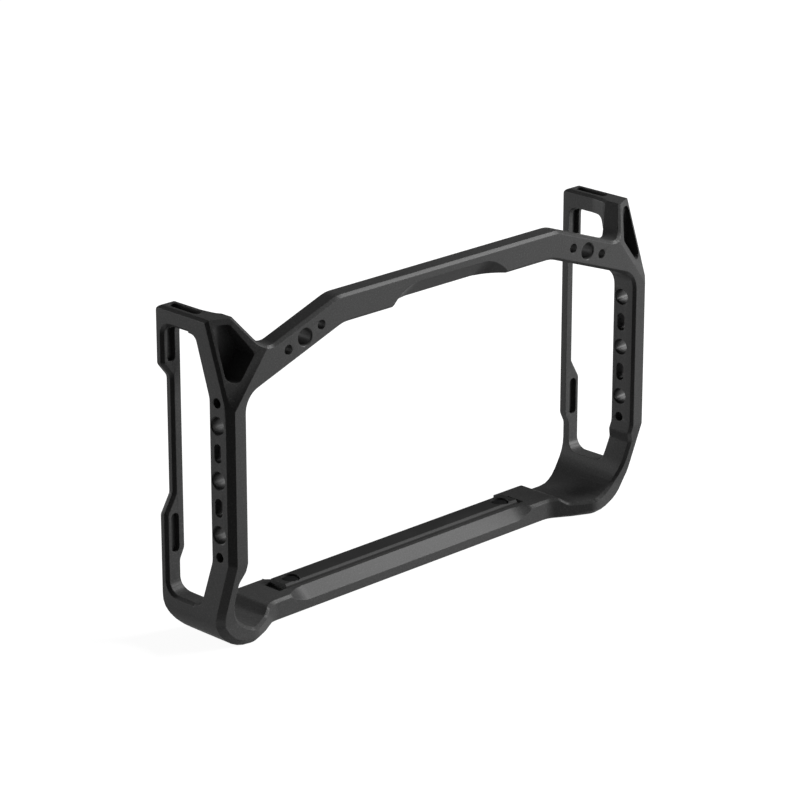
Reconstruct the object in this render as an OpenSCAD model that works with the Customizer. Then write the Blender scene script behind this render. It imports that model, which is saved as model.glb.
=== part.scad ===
// Cage for a 7 inch camera monitor, cut from one block of aluminium, with a base pad and captive screws.
// X runs across the cage, Y from the ring to the back of the wings, Z up from the flat underside.

/* [Overall] */
// Width over the outer faces of the two wings
cage_w = 204.8; // [198:0.2:212]
// Depth from the ring's face to the back of the wings
cage_d = 35.7; // [34:0.1:40]
// Height from the underside to the tops of the wings
cage_h = 117.5; // [112:0.5:124]
// Thickness of each wing
wing_t = 7.8; // [7:0.1:9]
// Height of the middle hole in each wing above the underside
row_h = 63.4; // [60:0.2:66]

/* [Top bar] */
// Height of the bar's level middle part
bar_h = 10.05; // [9:0.05:12]
// Depth of the bar
bar_d = 6.6; // [5.5:0.1:8]
// Distance from the middle to the bend in the bar's top edge
bar_top_half = 53.5; // [48:0.1:56]
// Distance from the middle to the bend in the bar's lower edge
bar_low_half = 50.4; // [44:0.1:55]
// Slope of the bar's outer parts in degrees
bar_slope = 19.3; // [16:0.1:22]
// Radius of the bends
bar_bend_r = 12; // [6:0.5:20]
// Radius of the inside corner between bar and wing, seen from the front
bar_corner_r = 8; // [5:0.5:10]
// Blend between the bar's back and the wing, as distances from the wing and the bar with radii
back_blend = [[11.1, 0, 8], [1.1, 7.8, 5], [0, 14.4, 8]];
// Chamfer along the ring's inner and upper front edges
rim_chamfer = 1; // [0.6:0.1:1.4]

/* [Scallop under the bar] */
// Half length of the scallop's straight part
scallop_half = 15.5; // [8:0.5:20]
// Height of the scallop on the bar's face, above the bar's lower edge
scallop_rise = 6.75; // [5:0.05:8]
// Radius of the scallop's run-outs
scallop_r = 20; // [12:1:26]

/* [Ears] */
// Width of the ear's top at the wing's outer face
ear_top_w = 8.8; // [8:0.1:10]
// Steepness of the ear's inner flank in degrees
ear_flank = 56; // [50:1:62]
// Radius in the notch between ear and bar
notch_r = 6; // [4:0.5:8]
// Turn of the ear's face away from the front, in degrees
face_turn = 23.9; // [18:0.1:26]
// Lean of the ear's face, in degrees
face_lean = 17.5; // [14:0.1:19]
// Height on the outer edge where the ear's face starts
face_start = 85.3; // [82:0.1:88]
// Chamfer along the ear's outer edge
ear_chamfer = 0.9; // [0.5:0.1:1.2]
// Depth of the ear pocket's floor behind the ring's face
pocket_floor = 10.2; // [9:0.1:10.6]
// Margin between the ear pocket and the wing's outer face
pocket_margin = 1.75; // [1.4:0.05:2.4]
// Corners of the pocket, as distances in from its margin and down from the top, with their radii
pocket_corners = [[0, 2, 2.2], [5.3, 2, 2.2], [10.8, 11.8, 1.3], [0, 25.7, 2.75]];

/* [Wings] */
// Height where the front edge starts to slant back
slant_start = 34; // [30:0.2:38]
// Slant of the lower front edge in degrees
slant = 17.7; // [14:0.1:19]
// Distance of the foot's front behind the ring's face
foot_front = 7.7; // [6.5:0.1:9]
// Chamfer on the outer front edge
edge_chamfer = 2.2; // [1.4:0.1:2.6]
// Length over which the foot's chamfer runs out along the base's front edge
edge_run_out = 17; // [4:0.5:20]
// Chamfer along the top edges
top_chamfer = 1; // [0.6:0.1:1.2]
// Radius of the outer lower corner, seen from the front
low_corner_r = 15.5; // [12:0.5:18]
// Radius of the lower back corner, seen from the side
low_back_r = 13; // [8:0.5:14]

/* [Windows] */
// Near edge of the side window behind the ring's face
window_near = 10; // [9.4:0.1:11]
// Thickness of the back post behind the window
post_t = 2.8; // [2.5:0.1:3.5]
// Height of the window's sill
sill_h = 16; // [14:0.1:18]
// Thickness of the wing above the window
head_t = 6.25; // [5.5:0.05:7]
// Run back and height of the near edge's slant at the top
near_top = [6.55, 20];
// Run back and height of the near edge's slant at the bottom
near_low = [6.2, 18];
// Chamfer round the window's outer edge
window_chamfer = 1.05; // [0.6:0.05:1.3]
// Depth of the recess in the back post's outer face
post_recess = 4; // [3:0.1:4.5]
// Top and bottom of the post's recess
post_recess_z = [97, 43.9];
// Length of the recess's curved run-outs
post_recess_run = [5, 6.8];

/* [Holes] */
// Bore of a tapped hole
tapped_d = 5.9; // [5.1:0.05:6.1]
// Mouth of a tapped hole
tapped_mouth = 6.6; // [6.3:0.1:7]
// Diameter of a locating hole
locating_d = 3.4; // [3:0.1:3.6]
// Distance from a tapped hole to its locating holes
locating_pitch = 7.94; // [7.9:0.01:8]
// Depth of each wing's uppermost locating hole, blind where the bar joins
blind_depth = 6.3; // [5:0.1:7]
// Distance between the tapped holes in a wing
row_pitch = 19.05; // [18.9:0.05:19.2]
// Distance of the wing's holes behind the ring's face
row_y = 6.3; // [5.8:0.1:6.6]
// Distance of the bar's tapped holes from the middle
bar_hole_x = 68.8; // [66:0.1:71]
// Height of the bar's tapped holes
bar_hole_z = 106.65; // [106:0.05:107.3]

/* [Slots] */
// Width of the slot in each wing's top
top_slot_w = 3.3; // [2.8:0.1:3.6]
// Front and back of the slot in each wing's top
top_slot_y = [18.2, 32.7];
// Depth of the slot in each wing's top
top_slot_depth = 4; // [2:0.5:5]
// Width of the slots in the back post
post_slot_w = 3.4; // [3:0.1:3.6]
// Depth of the slots in the back post
post_slot_depth = 1.6; // [1:0.1:2]
// Bottom and top of the lower slot in the back post
low_slot_z = [29.8, 43.8];
// Bottom of the upper slot in the back post
high_slot_z = 97.4; // [95:0.2:100]

/* [Base bar] */
// Distance of the base bar's front behind the ring's face
base_front = 16.9; // [15.5:0.1:18]
// Distance of the base bar's back behind the ring's face
base_back = 30.3; // [29.5:0.1:31]
// Height of the base bar's floor
base_floor = 7.75; // [7:0.05:8.5]
// Height where the bar's front facet starts
base_facet_z = 3.8; // [3:0.1:5]
// Half length of the facet's straight part
base_facet_half = 51; // [46:0.5:54]
// Radius of the facet's run-outs
base_facet_r = 21.5; // [18:0.5:26]
// Bends of the base's front edge, as distances in from the wing's outer face
front_bend_in = [33.4, 17.9];
// Radius of those bends
front_bend_r = 7.8; // [5:0.5:10]
// Outer end of the base's front edge and of the cut before it, in from the wing's outer face
front_end_in = [14.4, 11.4];
// Distance of each foot's back behind the bar's back
foot_step = 5.2; // [4.5:0.1:5.4]
// Inner and outer end of the step to the foot's back, as distances from the middle
foot_step_x = [53, 59];
// Distance from the wing's outer face to where the foot's back runs out to the wing
foot_back_in = 14; // [12:0.1:16]
// Radius of the bends in the base's back edge
back_bend_r = 4; // [2:0.5:5]
// Height of the trough's floor in each foot
trough_floor = 5.5; // [4.5:0.1:6.5]
// Distance from the wing's outer face to the trough's inner end
trough_end_in = 26.5; // [25:0.1:28]
// Length of the rise from the trough's floor to the bar's floor
trough_rise = 3; // [2.4:0.1:4]
// Radius of the trough's outer side
trough_r = 15; // [12:0.5:16]
// Depth of the relief inside each wing's lower part
wall_relief = 2; // [1:0.1:2.5]
// Height where that relief starts
relief_start = 30.7; // [28:0.1:33]
// Half length of the pad's bed
bed_half = 57.8; // [56.5:0.1:59]
// Front edge of the pad's bed
bed_front = 22.4; // [21.8:0.1:23]
// Width of the groove past each end of the bed
groove_w = 3.2; // [2.5:0.1:4]
// Depth of the groove past each end of the bed
groove_depth = 0.9; // [0.4:0.1:1.4]
// Chamfer along the bar's lower front edge
under_chamfer = 0.9; // [0.5:0.1:1.2]

/* [Base pad] */
// Height of the pad over the bar's floor
pad_rise = 1.45; // [1:0.05:2]
// Depth of the bed that the pad lies in
bed_depth = 0.4; // [0.2:0.1:0.6]
// Chamfer along the pad's front edge
pad_chamfer = 0.7; // [0.3:0.1:0.9]
// Gap round the pad in its bed
pad_gap = 0.05; // [0.02:0.01:0.1]

/* [Mounting screws] */
// Distance of the screws from the middle
screw_x = 52.3; // [50:0.1:53]
// Distance of the screws behind the ring's face
screw_y = 26.1; // [26:0.1:26.6]
// Clearance hole for a screw
screw_hole_d = 6.6; // [6.5:0.05:6.8]
// Diameter of the pocket under the bar for a screw's head
head_pocket_d = 11.2; // [10.8:0.1:12]
// Depth of the pocket for a screw's head
head_pocket_depth = 6.1; // [5.6:0.05:6.3]
// Diameter of the round boss that holds a screw's pocket
boss_d = 15.6; // [15:0.1:16]
// Height of the boss
boss_h = 7.2; // [6.9:0.05:7.3]
// Diameter of a screw's head
head_d = 9.8; // [9:0.1:10.4]
// Height of a screw's head
head_h = 1.8; // [1.6:0.1:2.2]
// Gap between the slack screw's head and its retaining ring
head_gap = 0.05; // [0.02:0.01:0.1]
// Outside diameter of the screw's thread
thread_d = 6.35; // [6.2:0.05:6.35]
// Pitch of the thread
thread_pitch = 1.27; // [1:0.01:1.5]
// Depth of the thread
thread_depth = 0.6; // [0.3:0.05:0.8]
// Diameter of the screw's neck
neck_d = 4.7; // [4.4:0.1:4.9]
// Height of the neck over the head
neck_h = 2.3; // [2.3:0.1:3]
// Length of screw over its head
shank_h = 6.1; // [5.6:0.1:6.5]
// Width of the driver slot in a screw's head
driver_w = 1.4; // [1:0.1:1.8]
// Depth of the driver slot
driver_depth = 1.1; // [0.8:0.1:1.3]
// Thickness of the washer over a screw's head
washer_t = 0.4; // [0.3:0.05:0.5]
// Gap between washer and head
washer_gap = 0.05; // [0.03:0.01:0.1]
// Gap between the washer's bore and the neck
washer_bore_gap = 0.08; // [0.05:0.01:0.1]
// Height of the retaining ring over the underside
ring_z = 0.3; // [0.2:0.05:0.4]
// Thickness of the retaining ring
ring_t = 0.5; // [0.4:0.05:0.6]
// Diameter of the groove that holds the ring
ring_groove_d = 12.4; // [12:0.1:12.8]
// Inside diameter of the ring
ring_bore = 8.6; // [8.2:0.1:9]
// Gap round the ring in its groove
ring_gap = 0.05; // [0.02:0.01:0.1]
// Diameter of the ring's two lugs
lug_d = 2.6; // [2.2:0.1:3]
// Diameter of the holes in the lugs
lug_hole_d = 1.1; // [0.8:0.1:1.3]
// Place of the lugs, out from the screw's axis and to either side of the ring's opening
lug_at = [2.2, 4.1];

/* [Hidden] */
// Extra length that every cut runs past a face
over = 0.6;
// Smallest distance that counts as one
tiny = 0.01;
// Angle of one step along a rounded corner
arc_step = 10;
// Facets of round holes
hole_fn = 40;
// Smallest step between the points of a chamfer's path
fine_step = 0.1;
// Radii of the small roundings
soft_r = 3;
fine_r = 2;
// Half width and inner face of the wings
half_w = cage_w / 2;
inner_x = half_w - wing_t;
lower_inner_x = inner_x + wall_relief;
// Heights of the ring's level lower edge and of the window's head
bar_low = cage_h - bar_h;
head_z = cage_h - head_t;
post_y = cage_d - post_t;
// Height of the slack screw's face over the underside
head_z0 = ring_z + ring_t + head_gap;
// Outer ends of the trough, of its rise to the bar's floor and of the relief in the wings
trough_rise_x = [half_w - trough_end_in, half_w - trough_end_in - trough_rise];
relief_z = [relief_start, relief_start - soft_r * 4 / 3];
// Outline of the base's front and back edges, seen from above
front_bend = [
    [half_w - front_bend_in[0], base_front, front_bend_r],
    [half_w - front_bend_in[1], foot_front, front_bend_r]
];
foot_back = base_back + foot_step;
back_bend = [
    [foot_step_x[0], base_back, back_bend_r],
    [foot_step_x[1], foot_back, back_bend_r],
    [half_w - foot_back_in, foot_back, back_bend_r],
    [inner_x, cage_d, back_bend_r]
];
// Where the base's outlines give way to the wings
split_z = slant_start;
black = [0.07, 0.07, 0.075];
rubber = [0.05, 0.05, 0.05];
steel = [0.12, 0.12, 0.13];

// Which piece is drawn

// Points along the rounded corner at b between a and c
function unit(v) = v / norm(v);
function flat(p) = [p[0], p[1]];
function radius(p) = len(p) > 2 ? p[2] : 0;
function arc_at(a, b, c, r) =
    r <= 0 ? [b] :
    let (u = unit(a - b),
         v = unit(c - b),
         half = acos(u * v) / 2,
         m = b + unit(u + v) * r / sin(half),
         p = b + u * r / tan(half),
         from = atan2(p.y - m.y, p.x - m.x),
         turn = cross(u, v) > 0 ? -1 : 1,
         sweep = 180 - 2 * half,
         n = max(1, ceil(sweep / arc_step)))
    [for (k = [0 : n]) m + r * [cos(from + turn * sweep * k / n), sin(from + turn * sweep * k / n)]];

// A run of points with its inner corners rounded
function soft_run(p) = [
    flat(p[0]),
    for (i = [1 : len(p) - 2]) each arc_at(flat(p[i - 1]), flat(p[i]), flat(p[i + 1]), radius(p[i])),
    flat(p[len(p) - 1])
];

// A closed outline with all its corners rounded
function soft_loop(p) = let (n = len(p)) [
    for (i = [0 : n - 1])
        each arc_at(flat(p[(i + n - 1) % n]), flat(p[i]), flat(p[(i + 1) % n]), radius(p[i]))
];

// A run from middle to middle made into a closed outline of both halves
function inside(p) = [for (i = [1 : len(p) - 2]) p[i]];
function both(p) = concat(inside(p), [for (i = [len(p) - 2 : -1 : 1]) [-p[i].x, p[i].y]]);

// The ear's face as a plane, and its distance behind the ring's face
face_n = [sin(face_turn) * cos(face_lean), -cos(face_turn) * cos(face_lean), sin(face_lean)];
function face_y(x, z) = (face_n.x * (x - half_w) + face_n.z * (z - face_start)) / -face_n.y;

// Distance of the wing's lower front edge behind the ring's face
function slant_y(z) = min(foot_front, max(0, (slant_start - z) * tan(slant)));

// Outer outline of the whole cage from the front, top middle to bottom middle
flank_x = half_w - ear_top_w;
notch_x = (flank_x * tan(ear_flank) + bar_top_half * tan(bar_slope)) / (tan(ear_flank) + tan(bar_slope));
notch_z = cage_h - (flank_x - notch_x) * tan(ear_flank);
outer_run = soft_run([
    [0, cage_h],
    [bar_top_half, cage_h, bar_bend_r],
    [notch_x, notch_z, notch_r],
    [flank_x, cage_h],
    [half_w - top_chamfer, cage_h],
    [half_w, cage_h - top_chamfer],
    [half_w, 0, low_corner_r],
    [0, 0]
]);

// Outline of the opening from the front, top middle to bottom middle
corner_z = bar_low - (inner_x - bar_low_half) * tan(bar_slope);
opening_run = soft_run([
    [0, bar_low],
    [bar_low_half, bar_low, bar_bend_r],
    [inner_x, corner_z, bar_corner_r],
    [inner_x, relief_z[0], soft_r],
    [lower_inner_x, relief_z[1], soft_r],
    [lower_inner_x, trough_floor, trough_r],
    [trough_rise_x[0], trough_floor, soft_r],
    [trough_rise_x[1], base_floor, soft_r],
    [0, base_floor]
]);

// Outline of the wing from the side
slant_end = slant_start - foot_front / tan(slant);
side_loop = soft_loop([
    [0, cage_h],
    [0, slant_start, soft_r],
    [foot_front, slant_end, soft_r * 2],
    [foot_front, 0],
    [cage_d, 0, low_back_r],
    [cage_d, cage_h, fine_r]
]);

// Outline of the side window
window_top_y = window_near + near_top.x;
window_sill_y = window_near + near_low.x;
window_loop = soft_loop([
    [window_near, head_z - near_top.y, soft_r * 2],
    [window_near, sill_h + near_low.y, soft_r * 2],
    [window_sill_y, sill_h, soft_r],
    [post_y, sill_h, soft_r * 1.5],
    [post_y, head_z, soft_r * 1.3],
    [window_top_y, head_z, soft_r]
]);

// Front and back edges of the base from above
base_front_run = soft_run([
    [0, base_front],
    front_bend[0],
    front_bend[1],
    [half_w - front_end_in[0], foot_front],
    [half_w - front_end_in[1], -over]
]);
base_back_run = soft_run(concat([[0, base_back]], back_bend, [[half_w, cage_d]]));

// Back of the bar and inner face of the wing from above
back_run = soft_run(concat(
    [[0, bar_d]],
    [for (p = back_blend) [inner_x - p[0], bar_d + p[1], p[2]]],
    [[inner_x, cage_d + over]]
));

// Distance of the front surface behind the ring's face at any place on the ring
function front_y(x, z) = max(0, face_y(x, z), slant_y(z), z < split_z ? lookup(x, base_front_run) : 0);

// Cut that leaves a chamfer along a path, given the outward normals of the two faces beside it
function along(p, i, closed) = let (n = len(p),
    a = closed ? p[(i + n - 1) % n] : p[max(0, i - 1)],
    b = closed ? p[(i + 1) % n] : p[min(n - 1, i + 1)]) unit(b - a);
function into(t, n, away) = let (d = unit(cross(t, n))) d * away > 0 ? -d : d;
module edge_cut(path, na, nb, depth, closed = false) {
    n = len(path);
    t = [for (i = [0 : n - 1]) along(path, i, closed)];
    a = [for (i = [0 : n - 1]) into(t[i], na[i], nb[i])];
    b = [for (i = [0 : n - 1]) into(t[i], nb[i], na[i])];
    c = [for (i = [0 : n - 1]) is_list(depth) ? depth[i] : depth];
    points = [for (i = [0 : n - 1]) each [
        path[i] + a[i] * (c[i] + over) - b[i] * over,
        path[i] - a[i] * over + b[i] * (c[i] + over),
        path[i] - (a[i] + b[i]) * over
    ]];
    right = cross(a[0], b[0]) * t[0] > 0;
    last = closed ? n - 1 : n - 2;
    sides = [for (i = [0 : last], k = [0 : 2]) let (j = (i + 1) % n, m = (k + 1) % 3)
        each [[i * 3 + k, j * 3 + k, j * 3 + m], [i * 3 + k, j * 3 + m, i * 3 + m]]];
    caps = closed ? [] : [[0, 1, 2], [n * 3 - 1, n * 3 - 2, n * 3 - 3]];
    faces = concat(sides, caps);
    polyhedron(points, right ? faces : [for (f = faces) [f[2], f[1], f[0]]], convexity = 10);
}

// Outline from the front, drawn out along Y
module along_y(from, to) {
    translate([0, to, 0])
        rotate([90, 0, 0])
            linear_extrude(to - from)
                children();
}

// Outline from the side, drawn out along X
module along_x(from, to) {
    translate([from, 0, 0])
        rotate([90, 0, 90])
            linear_extrude(to - from)
                children();
}

// Right side and its mirror image
module both_sides() {
    children();
    mirror([1, 0, 0])
        children();
}

// Block in front of a plane that passes through a point
module beyond(at, turn, lean) {
    big = cage_h;
    translate(at)
        rotate([-lean, 0, turn])
            translate([-big, -big, -big])
                cube([big * 2, big, big * 2]);
}

// Round-ended slot across Y or Z
module slot(length, d, depth) {
    linear_extrude(depth)
        union() {
            translate([-length / 2 + d / 2, 0])
                circle(d = d, $fn = hole_fn);
            translate([length / 2 - d / 2, 0])
                circle(d = d, $fn = hole_fn);
            square([length - d, d], center = true);
        }
}

// Tapped hole with a chamfered mouth, from its face inwards along -Z
module tapped(depth) {
    lip = (tapped_mouth - tapped_d) / 2;
    translate([0, 0, -depth - over])
        cylinder(d = tapped_d, h = depth + over * 2, $fn = hole_fn);
    translate([0, 0, -lip])
        cylinder(d1 = tapped_d, d2 = tapped_mouth + over * 2, h = lip + over, $fn = hole_fn);
}

// Row of holes in a wing: tapped holes, locating holes at the ends, slots between
module wing_holes() {
    translate([0, row_y, row_h])
        for (k = [-1 : 1])
            translate([half_w, 0, k * row_pitch])
                rotate([0, 90, 0])
                    tapped(wing_t);
    for (k = [-1, 1]) {
        depth = k > 0 ? blind_depth : wing_t + over;
        translate([half_w - depth, row_y, row_h + k * (row_pitch + locating_pitch)])
            rotate([0, 90, 0])
                cylinder(d = locating_d, h = depth + over, $fn = hole_fn);
        translate([inner_x - over, row_y, row_h + k * row_pitch / 2])
            rotate([0, 90, 0])
                slot(row_pitch - locating_pitch * 2 + locating_d, locating_d, wing_t + over * 2);
    }
}

// Tapped hole and its two locating holes on the bar's slope
module bar_holes() {
    translate([bar_hole_x, 0, bar_hole_z])
        rotate([90, 0, 0]) {
            tapped(bar_d);
            rotate([0, 0, -bar_slope])
                for (k = [-1, 1])
                    translate([k * locating_pitch, 0, -bar_d - over])
                        cylinder(d = locating_d, h = bar_d + over * 2, $fn = hole_fn);
        }
}

// Cut along an edge at 45 degrees whose ends run out in arcs
module run_out(half, r, length) {
    translate([0, 0, -length / 2])
        linear_extrude(length)
            union() {
                translate([-half, 0])
                    square([half * 2, r]);
                for (k = [-1, 1])
                    translate([k * half, r])
                        circle(r, $fn = hole_fn * 3);
            }
}

// Deep pocket in the ear's face
module ear_pocket() {
    corners = [for (p = pocket_corners) [half_w - pocket_margin - p[0], cage_h - p[1], p[2]]];
    along_y(-over, pocket_floor)
        polygon(soft_loop(corners));
}

// Recess in the outer face of the back post
post_run = soft_run([
    [half_w + over, post_recess_z[0] + soft_r * 2],
    [half_w, post_recess_z[0], soft_r],
    [half_w - post_recess, post_recess_z[0] - post_recess_run[0], soft_r],
    [half_w - post_recess, post_recess_z[1] + post_recess_run[1], soft_r],
    [half_w, post_recess_z[1], soft_r],
    [half_w + over, post_recess_z[1] - soft_r * 2]
]);
module post_recess_cut() {
    along_y(post_y - soft_r * 2, cage_d + over)
        polygon(post_run);
}

// Outer edge of the window: along the sill, up the post and along the head
function post_x(z) = min(half_w, lookup(-z, [for (p = post_run) [-p.y, p.x]]));
function near_post(p) = p.x > post_y - tiny;
window_path_yz = soft_run([
    [window_sill_y + soft_r, sill_h],
    [window_sill_y + soft_r + over, sill_h],
    [post_y, sill_h, soft_r * 1.5],
    for (p = [for (i = [len(post_run) - 2 : -1 : 1]) post_run[i]]) [post_y, p.y],
    [post_y, head_z, soft_r * 1.3],
    [window_top_y + soft_r + over, head_z],
    [window_top_y + soft_r, head_z]
]);
window_path = [for (p = window_path_yz) [near_post(p) ? post_x(p.y) : half_w, p.x, p.y]];

// Outward normals along a path that lies in a plane with normal n, facing the side given by s
function edge_normals(p, n, s, closed = false) =
    [for (i = [0 : len(p) - 1]) unit(cross(along(p, i, closed), n)) * s];

module window_chamfer_cut() {
    n = len(window_path);
    flat_path = [for (p = window_path_yz) [0, p.x, p.y]];
    wall = edge_normals(flat_path, [1, 0, 0], -1);
    face = [for (i = [0 : n - 1]) let (t = along(window_path, i, false)) unit(cross(wall[i], t))];
    out = [for (f = face) f.x < 0 ? -f : f];
    depth = [for (i = [0 : n - 1]) i == 0 || i == n - 1 ? -over / 2 : window_chamfer];
    edge_cut(window_path, out, wall, depth);
}

// Points added to the opening's outline where the front surface bends
function share_point(a, b, s) = [a.x + (b.x - a.x) * s, a.y + (b.y - a.y) * s];
function bends_between(a, b) = concat(
    [for (z = [slant_start, slant_end])
        if (a.y > z + fine_step && b.y < z - fine_step) share_point(a, b, (a.y - z) / (a.y - b.y))],
    a.y > split_z ? [] : [for (i = [len(base_front_run) - 3 : -1 : 0]) let (x = base_front_run[i].x)
        if (x < a.x - fine_step && x > b.x + fine_step) share_point(a, b, (a.x - x) / (a.x - b.x))]
);
function with_bends(p) = [for (i = [0 : len(p) - 1])
    each concat([p[i]], i < len(p) - 1 ? bends_between(p[i], p[i + 1]) : [])];

// Chamfer round the ring's opening, following its front surface
module rim_cut() {
    loop = both(with_bends(opening_run));
    path = [for (p = loop) [p.x, front_y(abs(p.x), p.y), p.y]];
    flat_path = [for (p = loop) [p.x, 0, p.y]];
    wall = edge_normals(flat_path, [0, 1, 0], -1, true);
    front = [for (i = [0 : len(path) - 1]) surface_normal(path[i])];
    edge_cut(path, front, wall, rim_chamfer, true);
}

// Outward normal of the front surface at a place on it, from its slopes
function slope_at(f, g) = (g - f) / (soft_r / 10);
function surface_normal(p) =
    let (s = p.x < 0 ? -1 : 1,
         x = abs(p.x),
         h = soft_r / 20,
         dx = slope_at(front_y(x - h, p.z), front_y(x + h, p.z)),
         dz = slope_at(front_y(x, p.z - h), front_y(x, p.z + h)))
    unit([dx * s, -1, dz]);

// Chamfer along the bar's upper front edge, the notch and the ear's flank
module crest_cut() {
    keep = [for (p = outer_run) if (p.x <= flank_x + tiny && p.y > cage_h / 2) p];
    end = keep[len(keep) - 1] + unit(keep[len(keep) - 1] - keep[len(keep) - 2]) * over;
    right_run = concat(inside(concat(keep, [[0, 0]])), [end]);
    run = concat([for (i = [len(right_run) - 1 : -1 : 0]) [-right_run[i].x, right_run[i].y]], right_run);
    path = [for (p = run) [p.x, front_y(abs(p.x), p.y), p.y]];
    flat_path = [for (p = run) [p.x, 0, p.y]];
    wall = edge_normals(flat_path, [0, 1, 0], 1);
    front = [for (p = path) surface_normal(p)];
    edge_cut(path, front, wall, rim_chamfer);
}

// Chamfer down the wing's outer front edge and round the foot's corner
module outer_edge_cut() {
    full_x = half_w - low_corner_r;
    end_x = full_x - edge_run_out;
    corner = [for (p = outer_run) if (p.y < cage_h / 2 && p.x >= full_x - tiny) p];
    bends = [for (i = [len(base_front_run) - 1 : -1 : 0]) base_front_run[i].x];
    low_edge = [for (x = bends) if (x < full_x - fine_step && x > end_x - soft_r) [x, 0]];
    upper = [[half_w, face_start + soft_r * 4], [half_w, slant_start + fine_r], [half_w, slant_start]];
    slanted = [for (k = [1 : 4]) [half_w, slant_start + (low_corner_r - slant_start) * k / 5]];
    full = concat(upper, slanted, corner, low_edge);
    path = [for (p = full) [p.x, front_y(p.x, p.y), p.y]];
    flat_path = [for (p = full) [p.x, 0, p.y]];
    wall = edge_normals(flat_path, [0, 1, 0], 1);
    n = len(path);
    front = [for (p = path) p.z > slant_start + tiny ? [0, -1, 0]
        : p.z > slant_end ? [0, -cos(slant), -sin(slant)]
        : p.x > full_x - tiny ? [0, -1, 0] : surface_normal(p)];
    depth = [for (p = path) max(-over / 2, edge_chamfer * min(1, (p.x - end_x) / edge_run_out))];
    edge_cut(path, front, wall, depth);
}

// Chamfer along the bar's lower front edge
module under_edge_cut() {
    half = [for (i = [1 : len(base_front_run) - 1]) if (base_front_run[i].x < half_w - low_corner_r)
        base_front_run[i]];
    n = len(half);
    run = concat([for (i = [n - 1 : -1 : 0]) [-half[i].x, half[i].y]], half);
    path = [for (p = run) [p.x, p.y, 0]];
    wall = edge_normals(path, [0, 0, 1], 1);
    edge_cut(path, [for (p = path) [0, 0, -1]], wall, under_chamfer);
}

// Chamfer up the ear's outer edge
module ear_edge_cut() {
    zs = [face_start - over, cage_h + over];
    path = [for (z = zs) [half_w, face_y(half_w, z), z]];
    edge_cut(path, [for (z = zs) face_n], [for (z = zs) [1, 0, 0]], ear_chamfer);
}

// Chamfer along the wing's upper inner edge
module inner_top_cut() {
    run = [for (p = back_run) if (p.x > back_run[1].x - tiny) p];
    path = [for (p = run) [p.x, p.y, cage_h]];
    wall = edge_normals(path, [0, 0, 1], -1);
    edge_cut(path, [for (p = path) [0, 0, 1]], wall, top_chamfer);
}

// Space behind the bar, between the wings
module behind_bar() {
    low = cage_h - bar_h * 4;
    translate([0, 0, low])
        linear_extrude(cage_h - low + over)
            polygon(both(concat(back_run, [[0, cage_d + over]])));
}

// Spaces in front of and behind the base, up to where the wings stand alone
module before_base() {
    translate([0, 0, -over])
        linear_extrude(split_z + over)
            polygon(both(concat(base_front_run, [[0, -over]])));
}
module behind_base() {
    run = [for (p = base_back_run) if (p.y < cage_d) p];
    translate([0, 0, -over])
        linear_extrude(split_z + over)
            polygon(both(concat(run, [[inner_x, cage_d + over], [0, cage_d + over]])));
}

// Everything that both sides of the frame have cut out of them
module side_cuts() {
    along_x(inner_x - back_blend[0][0], half_w + over)
        polygon(window_loop);
    post_recess_cut();
    beyond([half_w, 0, face_start], face_turn, face_lean);
    ear_pocket();
    ear_edge_cut();
    inner_top_cut();
    outer_edge_cut();
    window_chamfer_cut();
    wing_holes();
    bar_holes();
    slot_x = half_w - wing_t / 2;
    translate([slot_x, (top_slot_y[0] + top_slot_y[1]) / 2, cage_h - top_slot_depth])
        rotate([0, 0, 90])
            slot(top_slot_y[1] - top_slot_y[0], top_slot_w, top_slot_depth + over);
    translate([slot_x, post_y + post_slot_depth, (low_slot_z[0] + low_slot_z[1]) / 2])
        rotate([90, 90, 0])
            slot(low_slot_z[1] - low_slot_z[0], post_slot_w, post_slot_depth + over);
    translate([slot_x, post_y + post_slot_depth, (high_slot_z + head_z + over) / 2])
        rotate([90, 90, 0])
            slot(head_z + over - high_slot_z, post_slot_w, post_slot_depth + over);
    translate([screw_x, screw_y, -over])
        cylinder(d = screw_hole_d, h = base_floor + over * 2, $fn = hole_fn);
    translate([screw_x, screw_y, -over])
        cylinder(d = head_pocket_d, h = head_pocket_depth + over, $fn = hole_fn);
    translate([screw_x, screw_y, ring_z])
        cylinder(d = ring_groove_d, h = ring_t + ring_gap, $fn = hole_fn);
    translate([bed_half, bed_front, base_floor - groove_depth])
        cube([groove_w, base_back - bed_front, groove_depth + over]);
}

// The ring, the wings and the base as plain forms, with the bosses for the screws
module blank() {
    difference() {
        intersection() {
            along_y(0, cage_d)
                polygon(both(outer_run));
            along_x(-half_w - over, half_w + over)
                polygon(side_loop);
        }
        along_y(-over, cage_d + over)
            polygon(both(opening_run));
        behind_bar();
        before_base();
        behind_base();
    }
    both_sides()
        translate([screw_x, screw_y, 0])
            cylinder(d = boss_d, h = boss_h, $fn = hole_fn);
}

// The frame, one solid piece
module cage_frame() {
    color(black)
        translate([0, -cage_d / 2, 0])
            difference() {
                blank();
                both_sides()
                    side_cuts();
                rim_cut();
                crest_cut();
                under_edge_cut();
                scallop();
                base_facet();
                translate([-bed_half, bed_front, base_floor - bed_depth])
                    cube([bed_half * 2, base_back - bed_front + over, bed_depth + over]);
            }
}

// Scallop under the bar's front edge
module scallop() {
    translate([0, 0, bar_low + scallop_rise])
        rotate([-135, 0, 0])
            run_out(scallop_half, scallop_r, bar_h * 4);
}

// Facet along the base bar's upper front edge
module base_facet() {
    translate([0, base_front, base_facet_z])
        rotate([135, 0, 0])
            run_out(base_facet_half, base_facet_r, bar_h * 2);
}

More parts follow.
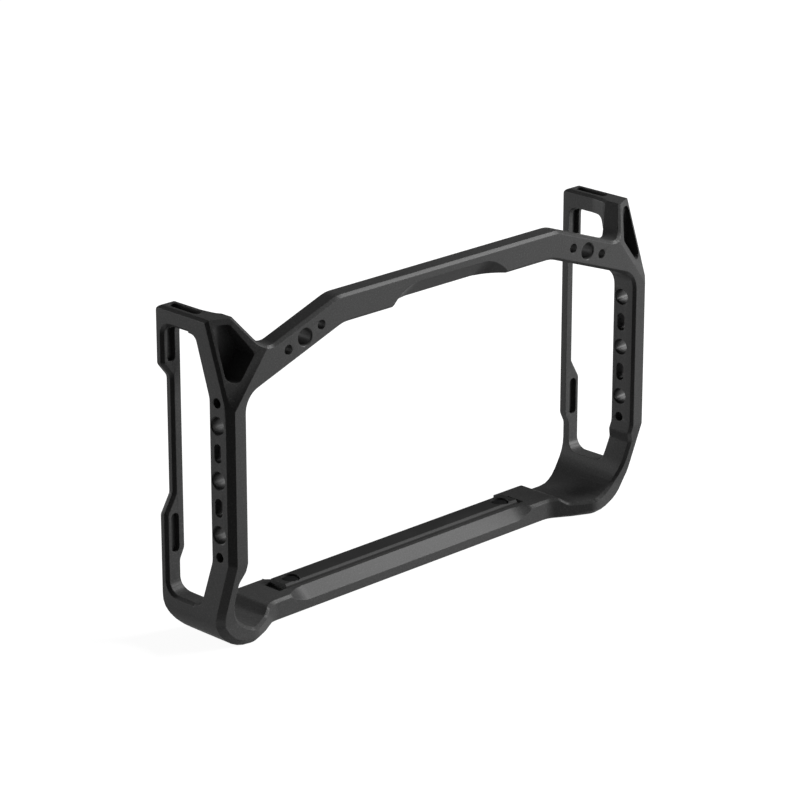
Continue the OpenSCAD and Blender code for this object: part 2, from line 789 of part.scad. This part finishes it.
// Pad in the bar's bed, under the monitor
module base_pad() {
    color(rubber)
        translate([0, -cage_d / 2, 0])
            difference() {
                along_x(-bed_half + pad_gap, bed_half - pad_gap)
                    polygon([
                        [bed_front + pad_gap, base_floor - bed_depth],
                        [base_back, base_floor - bed_depth],
                        [base_back, base_floor + pad_rise],
                        [bed_front + pad_gap + pad_chamfer, base_floor + pad_rise],
                        [bed_front + pad_gap, base_floor + pad_rise - pad_chamfer]
                    ]);
                for (k = [-1, 1])
                    translate([k * screw_x, screw_y, base_floor - bed_depth - over])
                        cylinder(d = screw_hole_d, h = bed_depth + pad_rise + over * 2, $fn = hole_fn);
            }
}

// Mounting screw, its slotted face down, slack in its hole
module screw(x) {
    thread_h = shank_h - neck_h;
    color(steel)
        translate([x, screw_y - cage_d / 2, head_z0])
            difference() {
                union() {
                    cylinder(d = head_d, h = head_h, $fn = hole_fn);
                    cylinder(d = neck_d, h = head_h + shank_h - thread_pitch / 2, $fn = hole_fn);
                    translate([0, 0, head_h + neck_h])
                        thread(thread_h);
                }
                translate([-head_d, -driver_w / 2, -over])
                    cube([head_d * 2, driver_w, driver_depth + over]);
            }
}

// Ridges of the thread over the neck
module thread(h) {
    turns = round(h / thread_pitch);
    inner = thread_d / 2 - thread_depth;
    rotate_extrude($fn = hole_fn)
        polygon(concat(
            [[0, 0]],
            [for (k = [0 : turns - 1]) each [
                [inner, k * thread_pitch],
                [thread_d / 2, (k + 1 / 2) * thread_pitch]
            ]],
            [[inner, turns * thread_pitch], [0, turns * thread_pitch]]
        ));
}

// Washer between a screw's head and the bar
module washer(x) {
    color(steel)
        translate([x, screw_y - cage_d / 2, head_z0 + head_h + washer_gap])
            difference() {
                cylinder(d = head_d, h = washer_t, $fn = hole_fn);
                translate([0, 0, -over])
                    cylinder(d = neck_d + washer_bore_gap * 2, h = washer_t + over * 2, $fn = hole_fn);
            }
}

// Retaining ring in the mouth of a screw's pocket, open between two lugs
module ring(x) {
    color(steel)
        translate([x, screw_y - cage_d / 2, ring_z])
            linear_extrude(ring_t)
                difference() {
                    union() {
                        difference() {
                            circle(d = ring_groove_d - ring_gap * 2, $fn = hole_fn);
                            circle(d = ring_bore, $fn = hole_fn);
                        }
                        for (k = [-1, 1])
                            translate([k * lug_at.x, lug_at.y])
                                circle(d = lug_d, $fn = hole_fn / 2);
                    }
                    for (k = [-1, 1])
                        translate([k * lug_at.x, lug_at.y])
                            circle(d = lug_hole_d, $fn = hole_fn / 2);
                    translate([-lug_at.x + lug_d / 2, lug_at.y - lug_d])
                        square([(lug_at.x - lug_d / 2) * 2, ring_groove_d]);
                }
}

module left_screw() {
    screw(-screw_x);
}

module right_screw() {
    screw(screw_x);
}

module left_washer() {
    washer(-screw_x);
}

module right_washer() {
    washer(screw_x);
}

module left_ring() {
    ring(-screw_x);
}

module right_ring() {
    ring(screw_x);
}

cage_frame();
base_pad();
left_screw();
right_screw();
left_washer();
right_washer();
left_ring();
right_ring();
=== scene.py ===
"""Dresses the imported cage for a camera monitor: materials, softened edges, floor, light and camera."""
import math

import bmesh
import bpy
from mathutils import Matrix, Vector


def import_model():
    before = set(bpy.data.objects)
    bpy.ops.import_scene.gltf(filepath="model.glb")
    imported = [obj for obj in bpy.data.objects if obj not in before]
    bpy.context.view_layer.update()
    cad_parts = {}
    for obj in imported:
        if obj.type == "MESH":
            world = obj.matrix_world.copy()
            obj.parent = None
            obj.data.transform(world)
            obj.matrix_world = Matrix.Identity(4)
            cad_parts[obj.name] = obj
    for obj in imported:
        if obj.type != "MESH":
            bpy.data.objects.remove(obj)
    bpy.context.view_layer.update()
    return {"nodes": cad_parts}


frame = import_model()

MM = 0.001
WHITE = (1, 1, 1, 1)

# Camera, as fitted to the photograph: two angles in degrees, then millimetres; clip distances in metres
CAMERA_AZIMUTH, CAMERA_ELEVATION = -44.79, 19.36
CAMERA_TARGET = (-24.95, -17.85, 73.97)
CAMERA_DISTANCE = 1181.77
LENS, SENSOR = 156.557, 36
CLIP_NEAR, CLIP_FAR = 0.05, 30

# Floor: half its side and its drop below the object in metres, how pale it is as a matt surface, and
# the glow that makes it white to the camera outside the shadow
FLOOR_HALF, FLOOR_DROP = 6.0, 0.05 * MM
FLOOR_MATT, FLOOR_GLOW = 0.24, 0.93

# Lamps, in metres and watts: place, width, height and power; all aim at LAMP_AIM
LAMP_AIM = (0, 0, 0.06)
LAMPS = {
    "key": ((0.95, -0.50, 1.05), 0.45, 0.45, 14),
    "right": ((1.10, -1.00, 0.55), 0.5, 0.35, 21),
    "back_left": ((-1.00, 1.10, 0.35), 0.5, 0.5, 3.8),
    "back": ((-0.35, 1.40, 0.15), 0.5, 0.3, 11),
}
WORLD_LEVEL = 0.045

# Edges: the angle that counts as one, the segments of its rounding, the angle below which faces shade
# smoothly, the distance at which points are joined, and the weight of large faces in the shading
EDGE_ANGLE = math.radians(24)
EDGE_SEGMENTS = 2
SMOOTH_ANGLE = math.radians(30)
WELD = 0.002 * MM
FACE_WEIGHT = 100

# Gloss of the metal for how far a face is turned away: (Facing of Layer Weight, Specular IOR Level)
GLOSS = [(0.05, 0.02), (0.30, 0.16), (0.38, 0.14), (0.55, 0.04), (0.80, 0.01)]


# Materials

class Nodes:
    """A short way to write a node tree: add a node, set its values, link what is given as a socket."""

    def __init__(self, name):
        self.material = bpy.data.materials.new(name)
        self.material.use_nodes = True
        self.tree = self.material.node_tree
        self.tree.nodes.clear()
        self.out = self.add("ShaderNodeOutputMaterial")

    def add(self, kind, settings=None, **inputs):
        node = self.tree.nodes.new(kind)
        for key, value in (settings or {}).items():
            setattr(node, key, value)
        for key, value in inputs.items():
            self.put(node.inputs[key.replace("_", " ")], value)
        return node

    def put(self, socket, value):
        if isinstance(value, bpy.types.NodeSocket):
            self.tree.links.new(value, socket)
        else:
            socket.default_value = value

    def feed(self, node, *values):
        """Fills a node's inputs in their order and returns its first output."""
        for socket, value in zip(node.inputs, values):
            self.put(socket, value)
        return node.outputs[0]

    def place(self):
        return self.add("ShaderNodeTexCoord").outputs["Object"]

    def noise(self, scale, detail, roughness=0.5, place=None):
        return self.add("ShaderNodeTexNoise", Vector=place or self.place(), Scale=scale, Detail=detail,
                        Roughness=roughness).outputs["Fac"]

    def ramp(self, value, stops):
        node = self.add("ShaderNodeValToRGB", Fac=value)
        band = node.color_ramp
        while len(band.elements) < len(stops):
            band.elements.new(0.5)
        for element, (at, colour) in zip(band.elements, stops):
            element.position = at
            element.color = (*colour, 1)
        return node.outputs["Color"]

    def span(self, value, low, high):
        return self.add("ShaderNodeMapRange", Value=value, To_Min=low, To_Max=high).outputs["Result"]

    def bump(self, height, strength, distance):
        node = self.add("ShaderNodeBump", Height=height, Strength=strength, Distance=distance)
        return node.outputs["Normal"]

    def larger(self, a, b):
        return self.feed(self.add("ShaderNodeMath", {"operation": "MAXIMUM"}), a, b)

    def finish(self, surface):
        self.put(self.out.inputs["Surface"], surface)
        return self.material


def grey(level):
    return (level, level, level)


def anodised():
    """Aluminium, finely bead-blasted and anodised black."""
    m = Nodes("anodised")
    cloud = m.noise(30, 2)
    grain = m.noise(2600, 2, 0.6)
    fleck = m.noise(1900, 1)
    colour = m.ramp(fleck, [(0.30, grey(0.046)), (0.60, grey(0.058)), (0.80, grey(0.082))])
    shade = m.add("ShaderNodeMix", {"data_type": "RGBA", "blend_type": "MULTIPLY"}, Factor=1, A=colour,
                  B=m.ramp(cloud, [(0.30, grey(0.93)), (0.70, grey(1.0))]))
    facing = m.add("ShaderNodeLayerWeight", Blend=0.5).outputs["Facing"]
    shader = m.add("ShaderNodeBsdfPrincipled", Base_Color=shade.outputs["Result"],
                   Roughness=m.span(cloud, 0.36, 0.42), Normal=m.bump(grain, 0.2, 0.012 * MM),
                   Specular_IOR_Level=m.ramp(facing, [(at, grey(level)) for at, level in GLOSS]))
    return m.finish(shader.outputs[0])


def rubber():
    """Moulded rubber with a fine matt grain."""
    m = Nodes("rubber")
    grain = m.noise(2200, 3, 0.6)
    cloud = m.noise(70, 2)
    colour = m.ramp(cloud, [(0.3, grey(0.012)), (0.7, grey(0.019))])
    shader = m.add("ShaderNodeBsdfPrincipled", Base_Color=colour, Roughness=m.span(grain, 0.55, 0.75),
                   Normal=m.bump(grain, 0.4, 0.03 * MM), Specular_IOR_Level=0.35)
    return m.finish(shader.outputs[0])


def dark_steel():
    """Turned steel with a black oxide finish; the turning marks run round the screw's axis."""
    m = Nodes("dark_steel")
    place = m.add("ShaderNodeMapping", Vector=m.place(), Scale=(1, 1, 14)).outputs["Vector"]
    turned = m.noise(600, 3, place=place)
    colour = m.ramp(turned, [(0.3, (0.010, 0.010, 0.011)), (0.7, (0.022, 0.022, 0.023))])
    shader = m.add("ShaderNodeBsdfPrincipled", Base_Color=colour, Metallic=0.6,
                   Roughness=m.span(turned, 0.45, 0.6), Normal=m.bump(turned, 0.2, 0.01 * MM))
    return m.finish(shader.outputs[0])


def floor_material():
    """Matt, shown as white to the camera and in reflections, and still darkened by the object's shadow."""
    m = Nodes("studio_floor")
    matt = m.add("ShaderNodeBsdfDiffuse", Color=(*grey(FLOOR_MATT), 1)).outputs[0]
    glow = m.add("ShaderNodeEmission", Color=WHITE, Strength=FLOOR_GLOW).outputs[0]
    ray = m.add("ShaderNodeLightPath").outputs
    seen = m.larger(m.larger(ray["Is Camera Ray"], ray["Is Glossy Ray"]), ray["Is Transmission Ray"])
    both = m.feed(m.add("ShaderNodeAddShader"), matt, glow)
    return m.finish(m.feed(m.add("ShaderNodeMixShader"), seen, matt, both))


# Mend of the wings' outer front edges. In the CAD the chamfer leaves that edge between the heights of
# EDGE_Z and runs as a groove into the side. Here the groove is filled, its three holes are bored again,
# and the chamfer is cut where the photograph has it. All in millimetres and for the wing on the +X side

# Where the cage's front lies in the frame, half its width, and the wing's thickness
FRONT_Y = -17.85
HALF_W, WING_T = 102.4, 7.8
# Bottom and top of the stretch, the chamfer's size, and how far the groove moves back from end to end
EDGE_Z = (36.0, 97.3)
EDGE_CUT = 2.2
GROOVE_SHIFT = 4.13844
# How far the groove's cutter stood past the edge, and how much larger than the groove the filling is
CUTTER_OVER, FILLING_OVER = 0.6, 0.05
# How deep the filling reaches into the wing, and how far it rises above the stretch
FILLING_DEPTH, FILLING_RISE = 4.0, 0.7
# The ear's leaning face: height at which it starts, its outward normal, and the chamfer on its edge
FACE_Z = 85.3
FACE_NORMAL = Vector((0.386390, -0.871939, 0.300706))
FACE_CUT = 0.9
# Holes, behind the front by HOLE_Y: heights and radius of the tapped ones, and the depth of their mouths
HOLE_Y, HOLE_SIDES = 6.3, 48
TAPPED_Z, TAPPED_R, MOUTH_DEPTH = (63.4, 82.45), 2.98, 0.38
BLIND_Z, BLIND_R, BLIND_DEPTH = 90.39, 1.72, 6.32
# How far cutters stand out of what they cut
CUT_OVER = 1


def turned_to(way, v):
    """Unit vector along v or against it, whichever points more towards way."""
    v = v.normalized()
    return v if v.dot(Vector(way)) > 0 else -v


def clip(bm, at, outward):
    """Cuts off what lies outside a plane and closes the cut."""
    cut = bmesh.ops.bisect_plane(bm, geom=bm.verts[:] + bm.edges[:] + bm.faces[:], plane_co=at,
                                 plane_no=outward, clear_outer=True)
    edges = [g for g in cut["geom_cut"] if isinstance(g, bmesh.types.BMEdge)]
    if edges:
        bmesh.ops.edgeloop_fill(bm, edges=edges)


def groove_filling(bm):
    low, high = EDGE_Z[0], EDGE_Z[1] + FILLING_RISE
    bmesh.ops.create_cube(bm, size=1)
    bmesh.ops.scale(bm, vec=(FILLING_DEPTH, 2 * FILLING_DEPTH, high - low), verts=bm.verts)
    bmesh.ops.translate(bm, vec=(HALF_W - FILLING_DEPTH / 2, FILLING_DEPTH, (low + high) / 2), verts=bm.verts)
    x_axis = Vector((1, 0, 0))
    along = turned_to((0, 0, 1), FACE_NORMAL.cross(x_axis))
    on_side = turned_to((0, 1, 0), along.cross(x_axis))
    on_face = turned_to((-1, 0, 0), along.cross(FACE_NORMAL))
    corner = Vector((HALF_W, 0, FACE_Z))
    shift = GROOVE_SHIFT / (EDGE_Z[1] - EDGE_Z[0])
    clip(bm, corner, FACE_NORMAL)
    clip(bm, corner + on_side * FACE_CUT, turned_to(x_axis, along.cross(on_side - on_face)))
    clip(bm, (HALF_W, -CUTTER_OVER - FILLING_OVER, low), Vector((0, -1, shift)).normalized())
    # The groove's floor stands at 45 degrees: 1.5 times FILLING_OVER along X is about that much across it
    clip(bm, (HALF_W - EDGE_CUT - 1.5 * FILLING_OVER, 0, low), Vector((-1, 1, -shift)).normalized())


def skin(bm, rings):
    """Closed body through rings of points that have the same count."""
    rings = [[bm.verts.new(p) for p in ring] for ring in rings]
    bm.faces.new(rings[0])
    bm.faces.new(rings[-1])
    for a, b in zip(rings, rings[1:]):
        for i in range(len(a)):
            j = (i + 1) % len(a)
            bm.faces.new((a[i], a[j], b[j], b[i]))


def edge_chamfer(bm):
    far = EDGE_CUT + CUT_OVER
    outline = [(HALF_W - far, -CUT_OVER), (HALF_W + CUT_OVER, -CUT_OVER), (HALF_W + CUT_OVER, far)]
    skin(bm, [[(x, y, z) for x, y in outline] for z in EDGE_Z])


def bore(bm, z, profile):
    turns = [math.tau * i / HOLE_SIDES for i in range(HOLE_SIDES)]
    skin(bm, [[(x, HOLE_Y + r * math.cos(t), z + r * math.sin(t)) for t in turns] for x, r in profile])


def edge_holes(bm):
    outside = HALF_W + CUT_OVER
    for z in TAPPED_Z:
        bore(bm, z, [(HALF_W - WING_T - CUT_OVER, TAPPED_R), (HALF_W - MOUTH_DEPTH, TAPPED_R),
                     (outside, TAPPED_R + MOUTH_DEPTH + CUT_OVER)])
    bore(bm, BLIND_Z, [(HALF_W - BLIND_DEPTH, BLIND_R), (outside, BLIND_R)])


def both_sides(name, make):
    """A mesh for a modifier to use, never shown: what make builds for the +X wing, and its mirror image."""
    bm = bmesh.new()
    mesh = bpy.data.meshes.new(name)
    for side in (1, -1):
        half = bmesh.new()
        make(half)
        bmesh.ops.scale(half, vec=(side, 1, 1), verts=half.verts)
        half.to_mesh(mesh)
        half.free()
        bm.from_mesh(mesh)
    bmesh.ops.recalc_face_normals(bm, faces=bm.faces)
    bm.to_mesh(mesh)
    bm.free()
    mesh.transform(Matrix.Scale(MM, 4) @ Matrix.Translation((0, FRONT_Y, 0)))
    o = bpy.data.objects.new(name, mesh)
    o.hide_render = o.hide_viewport = True
    bpy.context.scene.collection.objects.link(o)
    return o


def mend_edges(o):
    for name, make, operation in (
        ("groove_filling", groove_filling, "UNION"),
        ("edge_chamfer", edge_chamfer, "DIFFERENCE"),
        ("edge_holes", edge_holes, "DIFFERENCE"),
    ):
        step = o.modifiers.new(name, "BOOLEAN")
        step.object = both_sides(name, make)
        step.operation = operation
        step.solver = "MANIFOLD"


# Dressing of the CAD nodes

def smooth_by_angle():
    """Joins the CAD faces' edges and shades smoothly over those that turn by less than SMOOTH_ANGLE."""
    g = bpy.data.node_groups.new("smooth_by_angle", "GeometryNodeTree")
    for way in ("INPUT", "OUTPUT"):
        g.interface.new_socket("Geometry", in_out=way, socket_type="NodeSocketGeometry")
    start, end = g.nodes.new("NodeGroupInput"), g.nodes.new("NodeGroupOutput")
    weld = g.nodes.new("GeometryNodeMergeByDistance")
    weld.inputs["Distance"].default_value = WELD
    angle = g.nodes.new("GeometryNodeInputMeshEdgeAngle")
    sharp = g.nodes.new("FunctionNodeCompare")
    sharp.operation = "GREATER_THAN"
    sharp.inputs[1].default_value = SMOOTH_ANGLE
    faces = g.nodes.new("GeometryNodeSetShadeSmooth")
    edges = g.nodes.new("GeometryNodeSetShadeSmooth")
    edges.domain = "EDGE"
    edges.inputs["Shade Smooth"].default_value = False
    link = g.links.new
    link(start.outputs[0], weld.inputs["Geometry"])
    link(weld.outputs[0], faces.inputs["Geometry"])
    link(faces.outputs[0], edges.inputs["Geometry"])
    link(angle.outputs["Unsigned Angle"], sharp.inputs[0])
    link(sharp.outputs[0], edges.inputs["Selection"])
    link(edges.outputs[0], end.inputs[0])
    return g


def dress(name, material, rounding, weld_distance=WELD, mend=None):
    """Gives a CAD node its material and rounds its edges as the real piece's are."""
    o = frame["nodes"][name]
    o.data.materials.clear()
    o.data.materials.append(material)
    weld = o.modifiers.new("weld", "WELD")
    weld.merge_threshold = weld_distance
    bevel = o.modifiers.new("edges", "BEVEL")
    bevel.width = rounding * MM
    bevel.segments = EDGE_SEGMENTS
    bevel.limit_method = "ANGLE"
    bevel.angle_limit = EDGE_ANGLE
    bevel.use_clamp_overlap = False
    if mend:
        mend(o)
    o.modifiers.new("smooth", "NODES").node_group = smooth_group
    normals = o.modifiers.new("normals", "WEIGHTED_NORMAL")
    normals.keep_sharp = True
    normals.weight = FACE_WEIGHT


metal, matt_rubber, steel = anodised(), rubber(), dark_steel()
smooth_group = smooth_by_angle()
# The frame has a few edges that are shorter than WELD, and keeps them
dress("cage_frame", metal, 0.13, WELD / 4, mend_edges)
dress("base_pad", matt_rubber, 0.12)
for side in ("left", "right"):
    for piece, rounding in (("_screw", 0.08), ("_washer", 0.05), ("_ring", 0.05)):
        dress(side + piece, steel, rounding)


# Floor, light and camera

def floor():
    mesh = bpy.data.meshes.new("floor")
    corners = [(x * FLOOR_HALF, y * FLOOR_HALF, 0) for x, y in ((-1, -1), (1, -1), (1, 1), (-1, 1))]
    mesh.from_pydata(corners, [], [(0, 1, 2, 3)])
    mesh.materials.append(floor_material())
    o = bpy.data.objects.new("floor", mesh)
    o.location.z = -FLOOR_DROP
    bpy.context.scene.collection.objects.link(o)


def put_looking(name, data, at, way):
    """Places a lamp or a camera at a point, looking the way given."""
    o = bpy.data.objects.new(name, data)
    o.location = at
    o.rotation_mode = "QUATERNION"
    o.rotation_quaternion = way.to_track_quat("-Z", "Y")
    bpy.context.scene.collection.objects.link(o)
    return o


def softbox(name, at, width, height, power):
    lamp = bpy.data.lights.new(name, "AREA")
    lamp.shape = "RECTANGLE"
    lamp.size, lamp.size_y, lamp.energy = width, height, power
    put_looking(name, lamp, at, Vector(LAMP_AIM) - Vector(at))


def world():
    w = bpy.data.worlds.new("studio")
    w.use_nodes = True
    back = w.node_tree.nodes["Background"]
    back.inputs["Color"].default_value = WHITE
    back.inputs["Strength"].default_value = WORLD_LEVEL
    bpy.context.scene.world = w


def camera():
    a, e = math.radians(CAMERA_AZIMUTH), math.radians(CAMERA_ELEVATION)
    back = Vector((math.sin(a) * math.cos(e), -math.cos(a) * math.cos(e), math.sin(e)))
    data = bpy.data.cameras.new("camera")
    data.sensor_width, data.lens = SENSOR, LENS
    data.clip_start, data.clip_end = CLIP_NEAR, CLIP_FAR
    at = (Vector(CAMERA_TARGET) + back * CAMERA_DISTANCE) * MM
    bpy.context.scene.camera = put_looking("camera", data, at, -back)


floor()
world()
for name, values in LAMPS.items():
    softbox(name, *values)
camera()
bpy.context.scene.view_settings.view_transform = "Standard"
